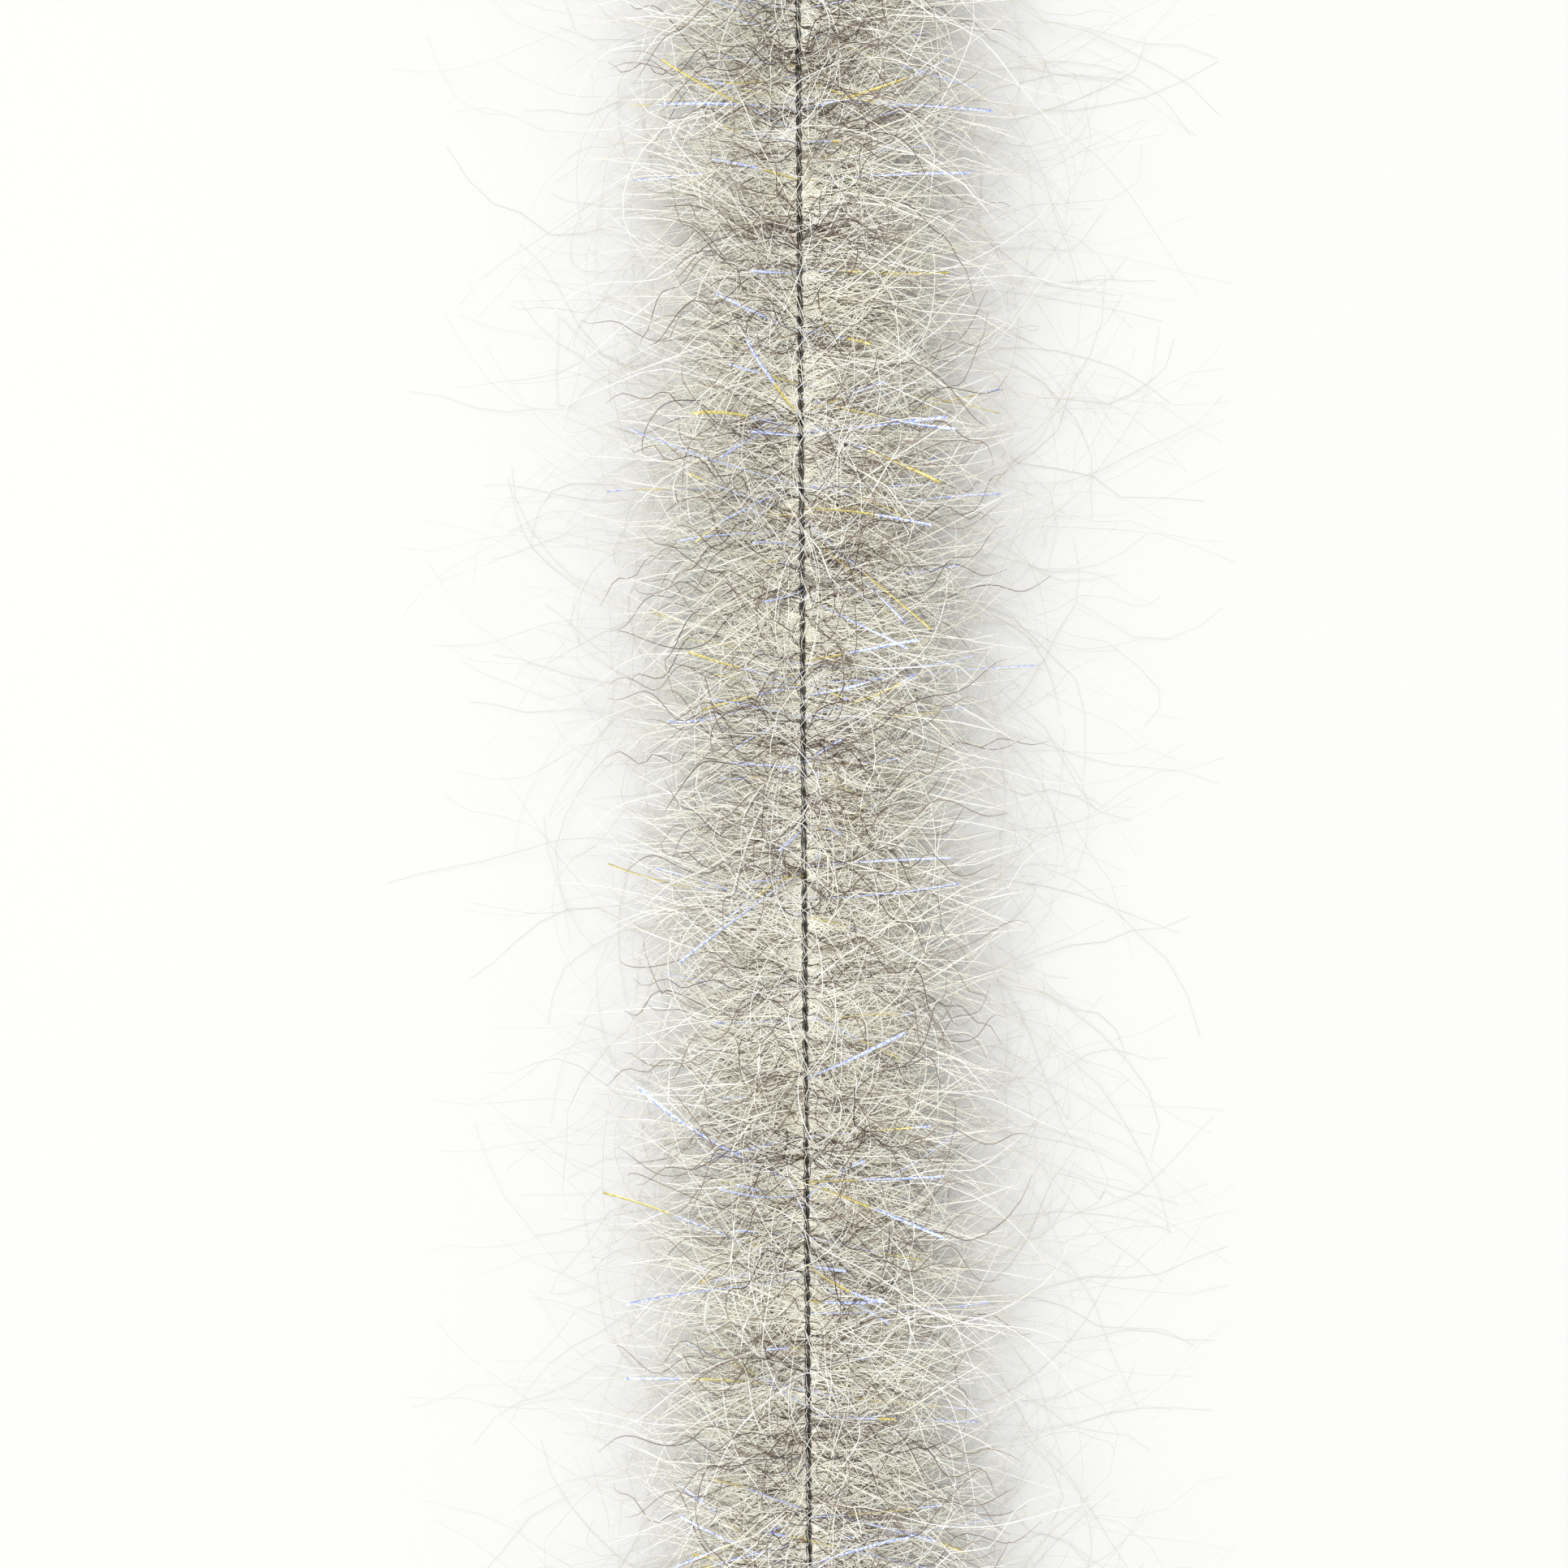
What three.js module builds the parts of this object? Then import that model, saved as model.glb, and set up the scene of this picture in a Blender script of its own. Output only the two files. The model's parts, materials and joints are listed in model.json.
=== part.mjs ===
// A wire-core fibre boa: a trim of crimped and fine fibres with pearl flash, held crosswise
// between two thin wires that are twisted together. It lies along Y on a flat surface at
// z = 0, with its origin under its middle. Units are millimetres, +Z up.

import * as THREE from 'three';
import { mergeVertices } from 'three/addons/utils/BufferGeometryUtils.js';

// ---- Driving dimensions ----

const boaLength = 254;           // cut end to cut end of the twisted core
const sectionCount = 8;          // rigid stretches between the places where the core bends
const sectionLength = 29;        // from one bending place to the next
const coreHeight = 6;            // the core's axis above the surface

const wireDiameter = 0.2;
const nipRoom = 0.06;            // between the two wires, where the fibres are held
const twistsPerSection = 14;     // whole turns, so every section starts at the same phase
const twistPitch = sectionLength / twistsPerSection;
const wireSides = 4;
const stepsPerTwist = 5;
const wireGap = 0.3;             // between the wires of two sections, at a bending place

const crimpedReach = 14;         // sideways from the core, to where the crimped fibres thin out
const paleReach = 17;            // the same for the fine pale fibres
const pileRise = 6.4;            // above the core
const pileOutlinePoints = 20;
const coreBore = 0.6;            // radius of the clear way round the wires
const coreBoreSides = 8;

const maxBend = 30;              // degrees, at one bending place
const bendClearance = 0.5;       // degrees left on each side of a closed bend
const bendGap = 0.3;             // from a bending place to the pile, at the core
const endCrown = 3;              // how far the pile's free ends are rounded back

const nipsToFlash = 5;           // half twists from a section's middle to a flash strand
const flashWidth = 0.25;
const flashThickness = 0.04;
const flashReach = 12.5;
const flashDroop = 1.4;          // at its tips
const flashSteps = 6;
const flashSlot = 0.9;           // between two tufts, for the strand

// ---- Worked out from them ----

const wireOffset = (wireDiameter + nipRoom) / 2;
const tailLength = (boaLength - sectionCount * sectionLength) / 2;
const halfSection = sectionLength / 2;
const flashPlace = nipsToFlash * twistPitch / 2;
const bendSlope = Math.tan(THREE.MathUtils.degToRad(maxBend / 2 + bendClearance));

// ---- Materials ----

const wireMaterial = new THREE.MeshStandardMaterial({
  color: 0x8f8c86, roughness: 0.3, metalness: 1,
});
const crimpedMaterial = new THREE.MeshStandardMaterial({
  color: 0x8a8178, roughness: 0.75, metalness: 0,
});
const paleMaterial = new THREE.MeshStandardMaterial({
  color: 0xdedacd, roughness: 0.6, metalness: 0,
});
const flashMaterial = new THREE.MeshStandardMaterial({
  color: 0xa9b4f2, roughness: 0.15, metalness: 0.2,
});

// ---- Twisted core ----

// One wire of the left-hand twist, along Y, from one place on the core to another.
class TwistedWire extends THREE.Curve {

  constructor(from, to, phase) {
    super();
    this.from = from;
    this.to = to;
    this.phase = phase;
  }

  getPoint(t, target = new THREE.Vector3()) {
    const y = THREE.MathUtils.lerp(this.from, this.to, t);
    const turn = this.phase - 2 * Math.PI * y / twistPitch;
    return target.set(wireOffset * Math.sin(turn), y, wireOffset * Math.cos(turn));
  }

}

// A closed outline with its corners on an ellipse.
function roundOutline(radiusX, radiusY, sides) {
  const corners = [];
  for (let i = 0; i < sides; i++) {
    const turn = 2 * Math.PI * i / sides;
    corners.push(new THREE.Vector2(radiusX * Math.cos(turn), radiusY * Math.sin(turn)));
  }
  return corners;
}

function wireGeometry(from, to, phase) {
  const section = new THREE.Shape(roundOutline(wireDiameter / 2, wireDiameter / 2, wireSides));
  return new THREE.ExtrudeGeometry(section, {
    extrudePath: new TwistedWire(from, to, phase),
    steps: Math.round((to - from) / twistPitch * stepsPerTwist),
    bevelEnabled: false,
  });
}

// ---- Pile ----

// A tuft's outline across the core: an ellipse about the core, flat where it lies on the surface.
function tuftOutline(reach) {
  const outline = new THREE.Shape(
    roundOutline(reach, pileRise, pileOutlinePoints).map(
      (corner) => new THREE.Vector2(corner.x, Math.max(corner.y, -coreHeight)),
    ),
  );
  outline.holes.push(new THREE.Path(roundOutline(coreBore, coreBore, coreBoreSides)));
  return outline;
}

// Ways to shape a tuft's end face. Each gives how far the face stands back at a point.
const flatFace = () => 0;
const crownedFace = (x) => endCrown * (x / paleReach) ** 2;
const sideBendFace = (x) => bendGap + Math.abs(x) * bendSlope;
const liftBendFace = (x, z) => bendGap + Math.abs(z) * bendSlope;

// A tuft of fibres round the core, from one place on it to another, as one closed solid.
function tuftGeometry(reach, from, to, startFace, endFace) {
  let tuft = new THREE.ExtrudeGeometry(tuftOutline(reach), {
    depth: to - from, steps: 1, bevelEnabled: false,
  });
  tuft.rotateX(Math.PI / 2);
  tuft.translate(0, to, 0);
  tuft.deleteAttribute('normal');
  tuft.deleteAttribute('uv');
  tuft = mergeVertices(tuft);

  const middle = (from + to) / 2;
  const points = tuft.attributes.position;
  for (let i = 0; i < points.count; i++) {
    const x = points.getX(i);
    const z = points.getZ(i);
    points.setY(i, points.getY(i) > middle ? to - endFace(x, z) : from + startFace(x, z));
  }
  tuft.computeVertexNormals();
  return tuft;
}

// ---- Pearl flash ----

// A flat strand that passes between the wires and droops a little on both sides.
function flashGeometry(y) {
  const section = new THREE.Shape();
  section.moveTo(-flashWidth / 2, -flashThickness / 2);
  section.lineTo(flashWidth / 2, -flashThickness / 2);
  section.lineTo(flashWidth / 2, flashThickness / 2);
  section.lineTo(-flashWidth / 2, flashThickness / 2);
  section.closePath();
  return new THREE.ExtrudeGeometry(section, {
    extrudePath: new THREE.QuadraticBezierCurve3(
      new THREE.Vector3(-flashReach, y, -flashDroop),
      new THREE.Vector3(0, y, flashDroop),
      new THREE.Vector3(flashReach, y, -flashDroop),
    ),
    steps: flashSteps,
    bevelEnabled: false,
  });
}

// ---- Assembly ----

function addPiece(parent, name, geometry, material) {
  const piece = new THREE.Mesh(geometry, material);
  piece.name = name;
  parent.add(piece);
}

// The face that a section turns to a bending place, or to the boa's free end. Bending places
// are numbered from 1 at the -Y end, and take turns between bending sideways and lifting.
function faceAt(place) {
  if (place === 0 || place === sectionCount) return crownedFace;
  return place % 2 === 1 ? sideBendFace : liftBendFace;
}

function makeSection(number) {
  const section = new THREE.Group();
  section.position.set(0, (number - (sectionCount + 1) / 2) * sectionLength, coreHeight);

  const isFirst = number === 1;
  const isLast = number === sectionCount;
  const wireStart = -halfSection + (isFirst ? -tailLength : wireGap / 2);
  const wireEnd = halfSection + (isLast ? tailLength : -wireGap / 2);
  addPiece(section, `wire_a_${number}`, wireGeometry(wireStart, wireEnd, 0), wireMaterial);
  addPiece(section, `wire_b_${number}`, wireGeometry(wireStart, wireEnd, Math.PI), wireMaterial);

  const slotInner = flashPlace - flashSlot / 2;
  const slotOuter = flashPlace + flashSlot / 2;
  addPiece(
    section, `crimped_tuft_${number}a`,
    tuftGeometry(crimpedReach, -halfSection, -slotOuter, faceAt(number - 1), flatFace),
    crimpedMaterial,
  );
  addPiece(
    section, `pale_tuft_${number}`,
    tuftGeometry(paleReach, -slotInner, slotInner, flatFace, flatFace),
    paleMaterial,
  );
  addPiece(
    section, `crimped_tuft_${number}b`,
    tuftGeometry(crimpedReach, slotOuter, halfSection, flatFace, faceAt(number)),
    crimpedMaterial,
  );

  addPiece(section, `flash_strand_${number}a`, flashGeometry(-flashPlace), flashMaterial);
  addPiece(section, `flash_strand_${number}b`, flashGeometry(flashPlace), flashMaterial);
  return section;
}

const boa = new THREE.Group();
for (let number = 1; number <= sectionCount; number++) {
  boa.add(makeSection(number));
}

export default boa;
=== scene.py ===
# A wire-core fibre boa on a pale surface, seen from straight above: two twisted wires hold crimped hairs,
# fine pale hairs and strips of pearl film crosswise.
import json
import math
import bpy
import bmesh
import numpy as np
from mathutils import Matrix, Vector


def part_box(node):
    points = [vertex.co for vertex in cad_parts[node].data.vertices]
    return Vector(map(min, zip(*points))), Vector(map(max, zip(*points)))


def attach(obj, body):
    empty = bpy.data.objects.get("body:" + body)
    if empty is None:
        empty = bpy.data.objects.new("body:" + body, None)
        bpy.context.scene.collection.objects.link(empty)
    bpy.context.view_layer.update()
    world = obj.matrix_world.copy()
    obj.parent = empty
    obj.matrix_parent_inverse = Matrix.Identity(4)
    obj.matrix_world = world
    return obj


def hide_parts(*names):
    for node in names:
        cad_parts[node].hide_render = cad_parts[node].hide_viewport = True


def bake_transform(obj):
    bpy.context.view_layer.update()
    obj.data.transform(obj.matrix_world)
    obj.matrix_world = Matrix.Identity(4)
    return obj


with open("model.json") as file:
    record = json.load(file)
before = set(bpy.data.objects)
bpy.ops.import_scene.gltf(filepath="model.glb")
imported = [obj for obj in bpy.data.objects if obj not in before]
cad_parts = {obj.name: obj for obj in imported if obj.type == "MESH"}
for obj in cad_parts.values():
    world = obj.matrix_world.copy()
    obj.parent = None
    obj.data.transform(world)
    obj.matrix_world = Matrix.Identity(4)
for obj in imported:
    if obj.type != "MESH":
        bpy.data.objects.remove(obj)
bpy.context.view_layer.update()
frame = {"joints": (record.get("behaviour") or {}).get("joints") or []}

mm = 0.001

# the boa's measures, read from the frame
joints = sorted(frame["joints"], key=lambda joint: joint["pos_m"][1])
bendPlaces = [joint["pos_m"][1] for joint in joints]
coreHeight = joints[0]["pos_m"][2]
sectionLength = bendPlaces[1] - bendPlaces[0]
sectionCount = len(joints) + 1
sectionMiddles = [bendPlaces[0] - sectionLength / 2 + n * sectionLength for n in range(sectionCount)]
pileStart = bendPlaces[0] - sectionLength
pileEnd = bendPlaces[-1] + sectionLength
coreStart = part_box("wire_a_1")[0][1]
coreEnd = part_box(f"wire_a_{sectionCount}")[1][1]
print("frame read:", sectionCount, "sections")


# camera
camera = {
    "lens": 100,            # mm
    "wide": 96.6 * mm,      # of the boa, across the view
    "toTheLeft": 1.2 * mm,  # of the core
    "lean": -0.415,         # degrees
    "nearest": 10 * mm,     # that it still sees
}


def setCamera(look):
    bpy.ops.object.camera_add()
    cam = bpy.context.object
    cam.name = "overheadCamera"
    cam.data.lens = look["lens"]
    cam.data.clip_start = look["nearest"]
    height = look["wide"] * look["lens"] / cam.data.sensor_width
    cam.location = (-look["toTheLeft"], 0, coreHeight + height)
    cam.rotation_euler = (0, 0, math.radians(look["lean"]))
    bpy.context.scene.camera = cam


setCamera(camera)
print("camera set")


# shader nodes
class Socket:  # an output of a node; arithmetic on it adds Math nodes
    def __init__(self, tree, out):
        self.tree = tree
        self.out = out

    def maths(self, operation, *others, first=False):
        values = [*others, self] if first else [self, *others]
        return self.tree.add("Math", {"operation": operation}, values)

    def __add__(self, other):
        return self.maths("ADD", other)

    def __mul__(self, other):
        return self.maths("MULTIPLY", other)

    def __sub__(self, other):
        return self.maths("SUBTRACT", other)

    def __rsub__(self, other):
        return self.maths("SUBTRACT", other, first=True)

    def __truediv__(self, other):
        return self.maths("DIVIDE", other)

    __radd__ = __add__
    __rmul__ = __mul__

    def floor(self):
        return self.maths("FLOOR")


class Nodes:  # the nodes of one material, or of the room
    def __init__(self, owner):
        owner.use_nodes = True
        self.owner = owner
        self.nodes = owner.node_tree.nodes
        self.links = owner.node_tree.links

    def plug(self, socket, value):
        if isinstance(value, Socket):
            self.links.new(value.out, socket)
        elif value is not None:
            socket.default_value = value

    def add(self, kind, settings=None, inputs=(), out=0):
        node = self.nodes.new("ShaderNode" + kind)
        for name, value in (settings or {}).items():
            if name == "stops":
                ramp = node.color_ramp
                while len(ramp.elements) < len(value):
                    ramp.elements.new(0.5)
                for element, (place, colour) in zip(ramp.elements, value):
                    element.position = place
                    element.color = (*colour, 1)
            else:
                setattr(node, name, value)
        named = inputs.items() if isinstance(inputs, dict) else enumerate(inputs)
        for name, value in named:
            self.plug(node.inputs[name], value)
        return Socket(self, node.outputs[out])

    def mix(self, factor, one, other):
        return self.add("Mix", {"data_type": "RGBA"}, {0: factor, 6: one, 7: other}, out=2)

    def finish(self, last="Principled BSDF", **values):
        for name, value in values.items():
            self.plug(self.nodes[last].inputs[name.replace("_", " ")], value)
        return self.owner


def rgb(red, green, blue):
    return (red, green, blue, 1)


# finishes
strandMap = "OFBake"  # the strands' own map: a column for each shade, from one tip at the foot to the other
shadeColumns = 48


def strandPlaces(nodes):
    place = nodes.add("UVMap", {"uv_map": strandMap})
    across = nodes.add("SeparateXYZ", inputs=[place])
    along = Socket(nodes, across.out.node.outputs[1])
    columns = across * shadeColumns
    return columns, columns.floor(), along


colourDrift = {  # along each hair
    "waves": 9,            # from tip to tip
    "step": 7.3,           # between one shade and the next
    "detail": 3,
    "share": (0.5, 0.1),   # of the other colour: times the noise, less this
    "smoother": 0.15,      # where it shows
}


def hairFinish(name, look):
    nodes = Nodes(bpy.data.materials.new(name))
    columns, column, along = strandPlaces(nodes)
    colour = nodes.add("ValToRGB", {"stops": look["stops"]}, [column / (shadeColumns - 1)])
    drift = nodes.add("TexNoise", {"noise_dimensions": "1D"},
                      {"W": along * colourDrift["waves"] + column * colourDrift["step"],
                       "Scale": 1.0, "Detail": colourDrift["detail"]})
    much, less = colourDrift["share"]
    colour = nodes.mix(drift * much - less, colour, rgb(*look["drift"]))
    outwards = (along - 0.5).maths("ABSOLUTE") * 2          # 0 where the core holds it, 1 at both tips
    stops = [(look["tipsFrom"], (0, 0, 0)), (look["tipsWhole"], (1, 1, 1))]
    tips = nodes.add("ValToRGB", {"stops": stops}, [outwards])
    # towards both tips the colour turns to the look's tip colour; on the wisps that is painted shade, the
    # dim look of thin tips against the bright surface
    colour = nodes.mix(tips, colour, rgb(*look["tips"]))
    roughness = look["roughness"] - drift * colourDrift["smoother"]
    return nodes.finish(Base_Color=colour, Roughness=roughness, Specular_IOR_Level=look["sheen"])


crimpedHair = {
    "stops": [(0, (0.045, 0.026, 0.022)), (0.5, (0.09, 0.056, 0.046)), (0.8, (0.2, 0.145, 0.115)),
              (1, (0.42, 0.34, 0.27))],
    "drift": (0.13, 0.088, 0.072), "tips": (0.25, 0.19, 0.15), "tipsFrom": 0.6, "tipsWhole": 0.85,
    "roughness": 0.5, "sheen": 0.3,
}
paleHair = {
    "stops": [(0, (0.88, 0.83, 0.69)), (0.6, (0.96, 0.94, 0.85)),
              (0.65, (0.97, 0.97, 0.95)), (1, (0.98, 0.98, 0.97))],   # from 0.65 on: the bright stray hairs
    "drift": (0.92, 0.89, 0.79), "tips": (0.96, 0.94, 0.88), "tipsFrom": 0.5, "tipsWhole": 0.85,
    "roughness": 0.4, "sheen": 0.55,
}
wispHair = {
    "stops": [(0, (0.86, 0.83, 0.68)), (1, (0.95, 0.94, 0.83))],
    # the wisps' greyer tips are painted shade: thin tips seen dim against the bright surface
    "drift": (0.92, 0.89, 0.76), "tips": (0.42, 0.4, 0.31), "tipsFrom": 0.2, "tipsWhole": 0.85,
    "roughness": 0.4, "sheen": 0.55,
}


pearl = {
    # blue is the film's own colour where it reflects; the gold stretches are painted light shining through
    # the film
    "turns": 2.2,               # from blue to gold and back, along a strip
    "turnStep": 5.1,            # between one shade and the next
    "goldFrom": 0.54, "goldWhole": 0.6,
    # sparks: painted glints, the near-white end of the blue and the bright end of the gold
    "sparksAlong": 90, "sparkStep": 3, "sparksAcross": 4,
    "blue": [(0.3, (0.28, 0.36, 0.96)), (0.5, (0.5, 0.59, 1.0)), (0.58, (0.9, 0.95, 1.0))],
    "gold": [(0.3, (0.5, 0.4, 0.07)), (0.7, (0.86, 0.75, 0.28))],
    "roughness": 0.25, "metallic": 0.15, "sheen": 0.8,
}


def pearlFinish(look):
    nodes = Nodes(bpy.data.materials.new("pearlFilm"))
    columns, column, along = strandPlaces(nodes)
    # the gold stretches are painted light shining through the film; elsewhere the film shows its own blue
    turn = nodes.add("TexNoise", {"noise_dimensions": "1D"},
                     {"W": along * look["turns"] + column * look["turnStep"], "Scale": 1.0, "Detail": 0})
    stops = [(look["goldFrom"], (0, 0, 0)), (look["goldWhole"], (1, 1, 1))]
    golden = nodes.add("ValToRGB", {"stops": stops}, [turn])
    place = nodes.add("CombineXYZ", inputs=[along * look["sparksAlong"] + column * look["sparkStep"],
                                            (columns - column) * look["sparksAcross"], 0])
    # painted glints: spots along and across each strip where the colour runs to near white or bright gold
    spark = nodes.add("TexNoise", {"noise_dimensions": "2D", "normalize": True},
                      {"Vector": place, "Scale": 1.0, "Detail": 2})
    blue = nodes.add("ValToRGB", {"stops": look["blue"]}, [spark])
    gold = nodes.add("ValToRGB", {"stops": look["gold"]}, [spark])
    colour = nodes.mix(golden, blue, gold)
    return nodes.finish(Base_Color=colour, Roughness=look["roughness"], Metallic=look["metallic"],
                        Specular_IOR_Level=look["sheen"])


steel = {
    "marks": 2600.0,            # left by drawing the wire, to a metre
    "stops": [(0.3, (0.05, 0.047, 0.042)), (0.6, (0.15, 0.144, 0.132))],
    "roughness": 0.08, "roughMarks": 0.12,
}


def wireFinish(look):
    nodes = Nodes(bpy.data.materials.new("drawnSteel"))
    place = nodes.add("TexCoord", out="Object")
    marks = nodes.add("TexNoise", {}, {"Vector": place, "Scale": look["marks"], "Detail": 4})
    colour = nodes.add("ValToRGB", {"stops": look["stops"]}, [marks])
    roughness = marks * look["roughMarks"] + look["roughness"]
    return nodes.finish(Base_Color=colour, Roughness=roughness, Metallic=1.0)


finishes = {
    "wire": wireFinish(steel),
    "crimped": hairFinish("crimpedHair", crimpedHair),
    "pale": hairFinish("paleHair", paleHair),
    "wisps": hairFinish("wispHair", wispHair),
    "flash": pearlFinish(pearl),
}
print("finishes made:", ", ".join(finishes))


# zones: a half section at each end, and a stretch across each bending place
zones = [{"from": pileStart, "to": sectionMiddles[0], "bodies": ["section_1"]}]
for n in range(1, sectionCount):
    zones.append({"from": sectionMiddles[n - 1], "to": sectionMiddles[n],
                  "bodies": [f"section_{n}", f"section_{n + 1}"]})
zones.append({"from": sectionMiddles[-1], "to": pileEnd, "bodies": [f"section_{sectionCount}"]})


def hold(piece, zone):
    if len(zone["bodies"]) == 1:
        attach(piece, zone["bodies"][0])
    else:
        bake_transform(piece)


# strands: one is modelled, then a copy of it is laid along each path
mostCuts = 100  # that subdivide makes; a longer strand passes over some points of its path


def modelStrand(sides, rings, turned=0.0):
    bpy.ops.object.select_all(action="DESELECT")
    bpy.ops.mesh.primitive_cylinder_add(vertices=sides, radius=1, depth=1, location=(0, 0, 0.5),
                                        rotation=(0, 0, turned))
    model = bpy.context.object
    bpy.ops.object.transform_apply(location=True, rotation=True, scale=True)
    bpy.ops.object.mode_set(mode="EDIT")
    bpy.ops.mesh.select_mode(type="EDGE")
    bpy.ops.mesh.select_all(action="DESELECT")
    shape = bmesh.from_edit_mesh(model.data)
    for edge in shape.edges:  # the edges that run along the strand
        edge.select = abs(edge.verts[0].co.z - edge.verts[1].co.z) > 0.5
    bmesh.update_edit_mesh(model.data)
    bpy.ops.mesh.subdivide(number_cuts=min(rings - 2, mostCuts))
    bpy.ops.object.mode_set(mode="OBJECT")

    mesh = model.data
    points = np.array([v.co for v in mesh.vertices])
    corners = np.array([i for face in mesh.polygons for i in face.vertices])
    sizes = np.array([len(face.vertices) for face in mesh.polygons])
    middles = np.repeat(np.array([face.center for face in mesh.polygons]), sizes, axis=0)
    angle = np.arctan2(points[:, 1], points[:, 0])[corners]
    faceAngle = np.arctan2(middles[:, 1], middles[:, 0])
    offset = (angle - faceAngle + math.pi) % (2 * math.pi) - math.pi
    strand = {
        "across": points[:, :2],
        "ring": np.rint(points[:, 2] * (rings - 1)).astype(int),
        "corners": corners,
        "sizes": sizes,
        "around": ((faceAngle / (2 * math.pi)) % 1 + offset / (2 * math.pi)) % 1.0001,  # 1 isn't turned to 0
        "along": points[corners, 2],
    }
    bpy.data.objects.remove(model)
    return strand


def unit(vectors):
    return vectors / np.maximum(np.linalg.norm(vectors, axis=-1, keepdims=True), 1e-12)


columnMargin = 0.1  # of a column's width, on each side of it
endMargin = 0.01    # of the map's height


def layStrands(name, strand, paths, wide, thick, guide, twist=None, columns=None):
    # paths: strands x rings x 3; wide and thick: half sizes, strands x rings; guide: a direction for each
    count = len(paths)
    heading = unit(np.gradient(paths, axis=1))
    first = unit(np.cross(np.broadcast_to(guide[:, None, :], heading.shape), heading))
    second = np.cross(heading, first)
    if twist is not None:
        turn, lean = np.cos(twist)[..., None], np.sin(twist)[..., None]
        first, second = first * turn + second * lean, second * turn - first * lean
    ring = strand["ring"]
    x, y = strand["across"][:, 0], strand["across"][:, 1]
    points = (paths[:, ring] + first[:, ring] * (wide[:, ring] * x)[..., None]
              + second[:, ring] * (thick[:, ring] * y)[..., None])

    pointCount = len(ring)
    corners = (np.arange(count)[:, None] * pointCount + strand["corners"][None, :]).ravel()
    sizes = np.tile(strand["sizes"], count)
    mesh = bpy.data.meshes.new(name)
    mesh.vertices.add(count * pointCount)
    mesh.vertices.foreach_set("co", points.ravel())
    mesh.loops.add(len(corners))
    mesh.loops.foreach_set("vertex_index", corners)
    mesh.polygons.add(len(sizes))
    mesh.polygons.foreach_set("loop_start", np.concatenate([[0], np.cumsum(sizes)[:-1]]))
    mesh.update(calc_edges=True)
    if columns is None:
        columns = np.zeros(count)
    around = columnMargin + (1 - 2 * columnMargin) * strand["around"]
    across = (columns[:, None] + around[None, :]) / shadeColumns
    along = np.broadcast_to(endMargin + (1 - 2 * endMargin) * strand["along"], across.shape)
    mesh.uv_layers.new(name=strandMap).uv.foreach_set("vector", np.stack([across, along], -1).ravel())
    piece = bpy.data.objects.new(name, mesh)
    bpy.context.collection.objects.link(piece)
    return piece


# the twisted core
core = {
    "wireRadius": 0.095 * mm,
    "fromAxis": 0.1 * mm,        # to each wire's middle
    "turnsPerSection": 14,
    "sides": 12,
    "pointsPerTurn": 15,         # of the path; the wire has a ring at about every second one
    "smoothAngle": math.radians(50),
}
pitch = sectionLength / core["turnsPerSection"]


def twistPhase(y):  # from upright towards +X; the twist is left-handed
    return -2 * math.pi * (y - sectionMiddles[0]) / pitch


def twistedWire(name, start, end, phase):
    points = round((end - start) / pitch * core["pointsPerTurn"]) + 1
    y = np.linspace(start, end, points)
    turn = twistPhase(y) + phase
    path = np.stack([core["fromAxis"] * np.sin(turn), y, coreHeight + core["fromAxis"] * np.cos(turn)], -1)
    radius = np.full((1, points), core["wireRadius"])
    strand = modelStrand(core["sides"], points)
    piece = layStrands(name, strand, path[None], radius, radius, np.array([[1.0, 0, 0]]))
    bpy.ops.object.select_all(action="DESELECT")
    piece.select_set(True)
    bpy.context.view_layer.objects.active = piece
    bpy.ops.object.shade_smooth_by_angle(angle=core["smoothAngle"])
    return piece


for n, zone in enumerate(zones):
    start = coreStart if n == 0 else zone["from"]
    end = coreEnd if n == sectionCount else zone["to"]
    for letter, phase in (("a", 0), ("b", math.pi)):
        piece = twistedWire(f"drawn_wire_{letter}_{n}", start, end, phase)
        piece.data.materials.append(finishes["wire"])
        hold(piece, zone)
        zone[f"wire_{letter}"] = piece
print("core twisted")


# growing the fibres
def smoothStep(t):
    t = np.clip(t, 0, 1)
    return t * t * (3 - 2 * t)


def nipPlaces(rng, zone, count, look):
    # fibres sit where the wires turn upright, a half twist apart, more of them in some nips than in others
    slack = 0.01  # so that a nip on the border counts
    first = math.ceil((zone["from"] - sectionMiddles[0]) / (pitch / 2) - slack)
    last = math.floor((zone["to"] - sectionMiddles[0]) / (pitch / 2) + slack)
    nips = np.arange(first, last + 1)
    share = rng.gamma(look["evenness"], 1, len(nips))
    share[[0, -1]] *= 0.5  # the zones next to this one fill the rest
    chosen = rng.choice(len(nips), count, p=share / share.sum())
    fan = rng.normal(0, look["nipFan"], len(nips))[chosen]
    return sectionMiddles[0] + nips[chosen] * pitch / 2, fan


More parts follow.
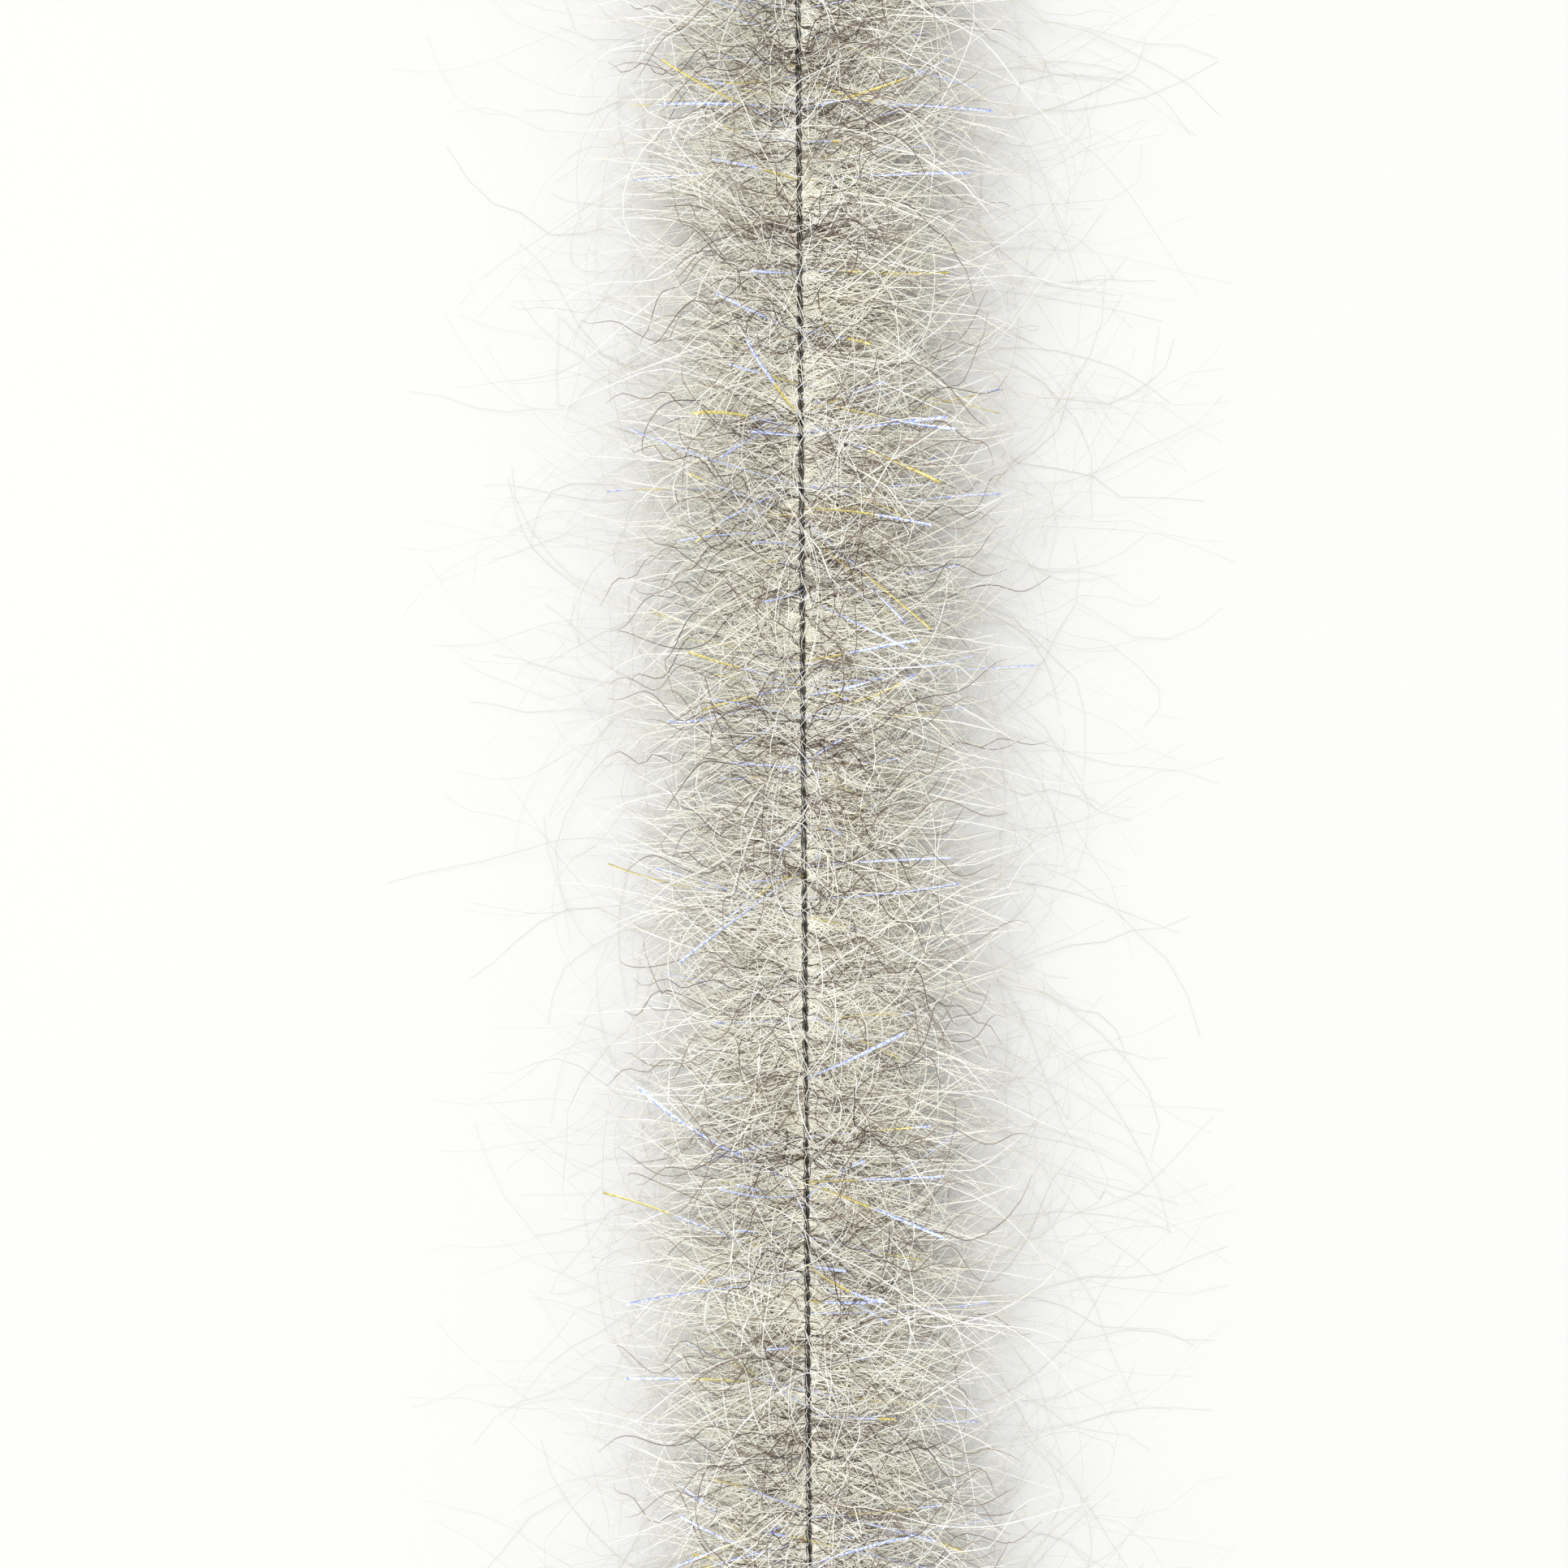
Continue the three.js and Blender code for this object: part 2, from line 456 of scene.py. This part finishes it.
def growHalf(rng, look, root, out, target, length):
    count, rings = len(root), look["rings"] // 2
    t = np.linspace(0, 1, rings + 1)[1:]
    run = length[:, None] * t                                  # distance grown, strands x rings
    settle = smoothStep(run / look["settle"])[..., None]
    bow = rng.normal(0, look["bow"], (count, 1, 3)) * t[None, :, None]
    curl = rng.normal(0, look["curl"], (count, 1, 3)) * (t ** 3)[None, :, None]
    heading = unit(out[:, None] * (1 - settle) + target[:, None] * settle + bow + curl)
    arc = rng.normal(0, look["arc"], (count, 1)) * run / mm     # turned about the vertical by now, radians
    heading = np.stack([heading[..., 0] * np.cos(arc) - heading[..., 1] * np.sin(arc),
                        heading[..., 0] * np.sin(arc) + heading[..., 1] * np.cos(arc), heading[..., 2]], -1)
    path = root[:, None] + np.cumsum(heading * (length / rings)[:, None, None], axis=1)

    flat = unit(np.cross(target, [0, 0, 1.0]))
    upright = np.cross(flat, target)
    wave = rng.uniform(*look["crimpLength"], (count, 1))
    size = wave * rng.uniform(*look["crimpShare"], (count, 1)) * smoothStep(run / look["settle"] / 2)
    phase = rng.uniform(0, 2 * math.pi, (count, 4))
    wander = look["wander"] * np.sin(run / wave * look["wanderRate"] + phase[:, 2:3])
    inPlane = size * np.sin(2 * math.pi * run / wave + wander + phase[:, 0:1])
    share, rate = look["outOfPlane"]
    outOfPlane = share * size * np.sin(2 * math.pi * run / wave * rate - wander + phase[:, 1:2])
    path = path + inPlane[..., None] * flat[:, None] + outOfPlane[..., None] * upright[:, None]
    path[..., 2] -= look["droop"] * run ** 2
    return path


steepest = {"start": 1.5, "rise": 1.35}  # radians from level
zoneMargin = 0.1 * mm
sideLengths = {-1: 0.92, 1: 1.06}        # shorter hairs on the left of the core than on the right
lobeWaves = ((0.62, 1.3), (1.37, 2.2))   # radians to a mm of the core, and between its two sides


def growFibres(rng, look, zone, count):
    place, fan = nipPlaces(rng, zone, count, look)
    nipAngle = rng.normal(0, look["nipSpread"], count).clip(-steepest["start"], steepest["start"])
    place = place + nipAngle * pitch / (2 * math.pi)
    place = place.clip(zone["from"] + zoneMargin, zone["to"] - zoneMargin)
    root = np.stack([np.zeros(count), place, np.full(count, coreHeight)], -1)
    halves = []
    for side in (-1, 1):
        rise = nipAngle * side * look["keepsRise"] + rng.normal(look["lift"], look["rise"], count)
        rise = np.clip(rise, -steepest["rise"], steepest["rise"])
        sweep = fan * rng.normal(1, look["fanSpread"], count) + rng.normal(0, look["sweep"], count)
        start = np.clip(side * nipAngle + look["lift"], -steepest["start"], steepest["start"])
        out = unit(np.stack([side * np.cos(start), np.sin(sweep), np.sin(start)], -1))
        target = np.stack([side * np.cos(rise) * np.cos(sweep), np.cos(rise) * np.sin(sweep),
                           np.sin(rise)], -1)
        lobe = 1 + look["lobes"] * sum(np.sin(place / mm * wave + side * shift) for wave, shift in lobeWaves)
        length = look["length"](rng, count) * lobe * sideLengths[side]
        halves.append(growHalf(rng, look, root, out, target, length))
    paths = np.concatenate([halves[0][:, ::-1], root[:, None], halves[1]], axis=1)
    above = paths[..., 2] - look["floorRoom"]
    paths[..., 2] = look["floorRoom"] + (above + np.sqrt(above ** 2 + look["floorSoft"] ** 2)) / 2
    below = look["highest"] - paths[..., 2]
    paths[..., 2] = look["highest"] - (below + np.sqrt(below ** 2 + look["topSoft"] ** 2)) / 2
    reach = np.abs(paths[..., 0]).max(axis=1, keepdims=True)
    paths[..., 0] *= np.minimum(1, look["widest"] / reach)
    return paths


def taper(rings, tip, reach):
    t = np.linspace(0, 1, rings)
    edge = np.minimum(t, 1 - t) / reach
    return tip + (1 - tip) * smoothStep(edge)


crimped = {
    "perMm": 6.2,               # fibres held in each mm of the core
    "rings": 46,                # steps from tip to tip
    "radius": (0.024 * mm, 0.036 * mm),
    "length": lambda rng, count: (2.0 + rng.gamma(1.9, 3.0, count)).clip(2, 14) * mm,   # on each side
    "evenness": 7,              # of the nips' shares; more is more even
    "nipFan": 0.15, "fanSpread": 0.4, "nipSpread": 0.9, "keepsRise": 0.3,   # how a nip's fibres fan out
    "rise": 0.16, "sweep": 0.3, "lift": 0.36,    # spread up and along the core, and mean rise, in radians
    "settle": 0.9 * mm,         # grown before that direction is reached
    "bow": 0.32, "curl": 0.5,   # over the whole hair, and at its tip
    "arc": 0.05,                # radians to a mm
    "crimpLength": (2.8 * mm, 6.5 * mm), "crimpShare": (0.06, 0.13),
    "wander": 1.0, "wanderRate": 1.9, "outOfPlane": (0.7, 0.83),   # of the crimp's size and of its rate
    "droop": 6.0,               # times the square of the distance grown, in metres
    "lobes": 0.06,              # the share by which the lengths wave along the core
    "floorRoom": 0.25 * mm, "floorSoft": 0.8 * mm, "highest": 15 * mm, "topSoft": 2.5 * mm,
    "widest": 26.5 * mm,        # to each side
    "tip": 0.35, "tipReach": 0.06,               # a tip's share of the radius, and the share that tapers
    "shades": (0, 1),
}
under = dict(
    crimped, perMm=45.0, rings=8, radius=(0.034 * mm, 0.056 * mm),
    length=lambda rng, count: (3.0 + rng.exponential(4.7, count)).clip(3, 14) * mm,
    evenness=12, nipFan=0.1, nipSpread=0.9, keepsRise=0.15, rise=0.24, sweep=0.42, lift=-0.28,
    bow=0.35, curl=0.5, crimpLength=(5 * mm, 9 * mm), crimpShare=(0.01, 0.04),
    tip=0.2, tipReach=0.2, lobes=0.04, shades=(0, 0.6),
)
pale = dict(
    under, perMm=7.0, rings=16, radius=(0.022 * mm, 0.036 * mm),
    length=lambda rng, count: (3.5 + rng.exponential(5.0, count)).clip(3, 15) * mm,
    nipFan=0.2, rise=0.28, sweep=0.38, lift=-0.12, bow=0.4, curl=0.7,
    crimpLength=(4 * mm, 8 * mm), crimpShare=(0.02, 0.06), tipReach=0.25,
)
wisps = dict(
    pale, perMm=18.0, rings=24, radius=(0.016 * mm, 0.028 * mm),
    length=lambda rng, count: (8 + rng.exponential(9, count)).clip(6, 28) * mm,
    nipSpread=0.42, rise=0.24, sweep=0.65, lift=-0.02, settle=4 * mm, bow=0.5, curl=0.9, arc=0.09,
    crimpLength=(6 * mm, 14 * mm), tipReach=0.35, shades=(0, 1),
)
strays = dict(
    wisps, perMm=3.0, rings=30, radius=(0.018 * mm, 0.03 * mm),
    length=lambda rng, count: (7 + rng.gamma(2, 3.5, count)).clip(6, 22) * mm,
    nipSpread=0.3, rise=0.14, sweep=0.8, lift=0.3, settle=6 * mm, bow=0.4, curl=0.6, arc=0.12,
    droop=12.0, tipReach=0.2, shades=(0.65, 1),
)
flash = dict(
    crimped, perMm=0.8, rings=26, radius=(0.06 * mm, 0.1 * mm), thickness=0.012 * mm,   # half sizes
    length=lambda rng, count: rng.normal(8, 3.2, count).clip(3, 18) * mm,
    nipFan=0.05, rise=0.2, sweep=0.3, lift=0.3, bow=0.12, curl=0.12, arc=0.01,
    crimpShare=(0, 0.003), lobes=0, tip=1.0,
    turns=1.3, leanSpread=0.5,   # radians, from the middle to an end, and at the core
)
strands = {
    "crimped": modelStrand(3, crimped["rings"] + 1),
    "under": modelStrand(3, under["rings"] + 1),
    "pale": modelStrand(3, pale["rings"] + 1),
    "wisps": modelStrand(3, wisps["rings"] + 1),
    "strays": modelStrand(3, strays["rings"] + 1),
    "flash": modelStrand(4, flash["rings"] + 1, math.pi / 4),
}


seedStep = 1000      # between the kinds of fibre
cornerOut = 1.414    # a square strand's corners, against its flat sides


def growZone(kind, look, n):
    zone = zones[n]
    rng = np.random.default_rng(seedStep * (1 + list(strands).index(kind)) + n)
    count = max(1, round(look["perMm"] * (zone["to"] - zone["from"]) / mm))
    paths = growFibres(rng, look, zone, count)
    rings = paths.shape[1]
    radius = rng.uniform(*look["radius"], (count, 1)) * taper(rings, look["tip"], look["tipReach"])[None]
    guide = unit(np.cross(paths[:, -1] - paths[:, 0], rng.normal(0, 1, (count, 3))))
    wide, thick, twist = radius, radius, None
    if kind == "flash":
        guide = np.tile([0, 0, 1.0], (count, 1))
        wide = radius * cornerOut
        thick = np.full_like(radius, look["thickness"] * cornerOut)
        turns = rng.normal(0, look["turns"], (count, 1))
        lean = rng.uniform(-look["leanSpread"], look["leanSpread"], (count, 1))
        twist = lean + math.pi / 2 + turns * np.linspace(-1, 1, rings)[None]
    columns = (rng.uniform(*look["shades"], count) * (shadeColumns - 1)).round()
    piece = layStrands(f"{kind}_fibres_{n}", strands[kind], paths, wide, thick, guide, twist, columns)
    if kind != "flash":
        piece.data.polygons.foreach_set("use_smooth", np.ones(len(piece.data.polygons), bool))
    piece.data.materials.append(finishes["pale" if kind in ("under", "strays") else kind])
    hold(piece, zone)
    return piece


for n, zone in enumerate(zones):
    zone["crimped"] = growZone("crimped", crimped, n)
    zone["under"] = growZone("under", under, n)
    zone["pale"] = growZone("pale", pale, n)
    zone["wisps"] = growZone("wisps", wisps, n)
    zone["strays"] = growZone("strays", strays, n)
    zone["flash"] = growZone("flash", flash, n)
print("fibres grown in", len(zones), "zones")

# each zone's pieces stand for the CAD solids of the section that they start in
for k in range(1, sectionCount + 1):
    zone = zones[k]
    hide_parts(f"wire_a_{k}")
    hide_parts(f"wire_b_{k}")
    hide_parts(f"crimped_tuft_{k}a", f"crimped_tuft_{k}b")
    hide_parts(f"pale_tuft_{k}")
    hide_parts(f"flash_strand_{k}a", f"flash_strand_{k}b")


# surface and light
studio = {
    "surfaceSize": 8,  # m
    "surfaceRoughness": 0.6,
    "surface": (0.522, 0.521, 0.514),
    "lamps": [  # where it shines from, how wide it looks in degrees, strength
        ((-0.27, 0.06, 1.0), 40, 3.13),
        ((0.35, 0.1, 1.0), 50, 0.63),
    ],
    "room": 0.65,
    "backdrop": 0.96,  # what the camera sees past the surface
}


def layFloor(look):
    bpy.ops.object.select_all(action="DESELECT")
    bpy.ops.mesh.primitive_plane_add(size=look["surfaceSize"], location=(0, 0, 0))
    floor = bpy.context.object
    floor.name = "surface"
    nodes = Nodes(bpy.data.materials.new("paleSurface"))
    finish = nodes.finish(Base_Color=rgb(*look["surface"]), Roughness=look["surfaceRoughness"])
    floor.data.materials.append(finish)


def hangLamps(look):
    for n, (place, wide, strength) in enumerate(look["lamps"]):
        bpy.ops.object.light_add(type="SUN", location=place)
        lamp = bpy.context.object
        lamp.name = f"lamp_{n}"
        lamp.data.angle = math.radians(wide)
        lamp.data.energy = strength
        lamp.rotation_euler = (-Vector(place)).to_track_quat("-Z", "Y").to_euler()


def lightRoom(look):
    bpy.context.scene.world = bpy.data.worlds.new("room")
    nodes = Nodes(bpy.context.scene.world)
    seen = nodes.add("LightPath", out="Is Camera Ray")
    strength = nodes.add("Mix", {"data_type": "FLOAT"},
                         {"Factor": seen, "A": look["room"], "B": look["backdrop"]})
    nodes.finish("Background", Color=rgb(1, 1, 1), Strength=strength)


layFloor(studio)
hangLamps(studio)
lightRoom(studio)
bpy.context.scene.view_settings.view_transform = "Standard"
print("surface and light set")
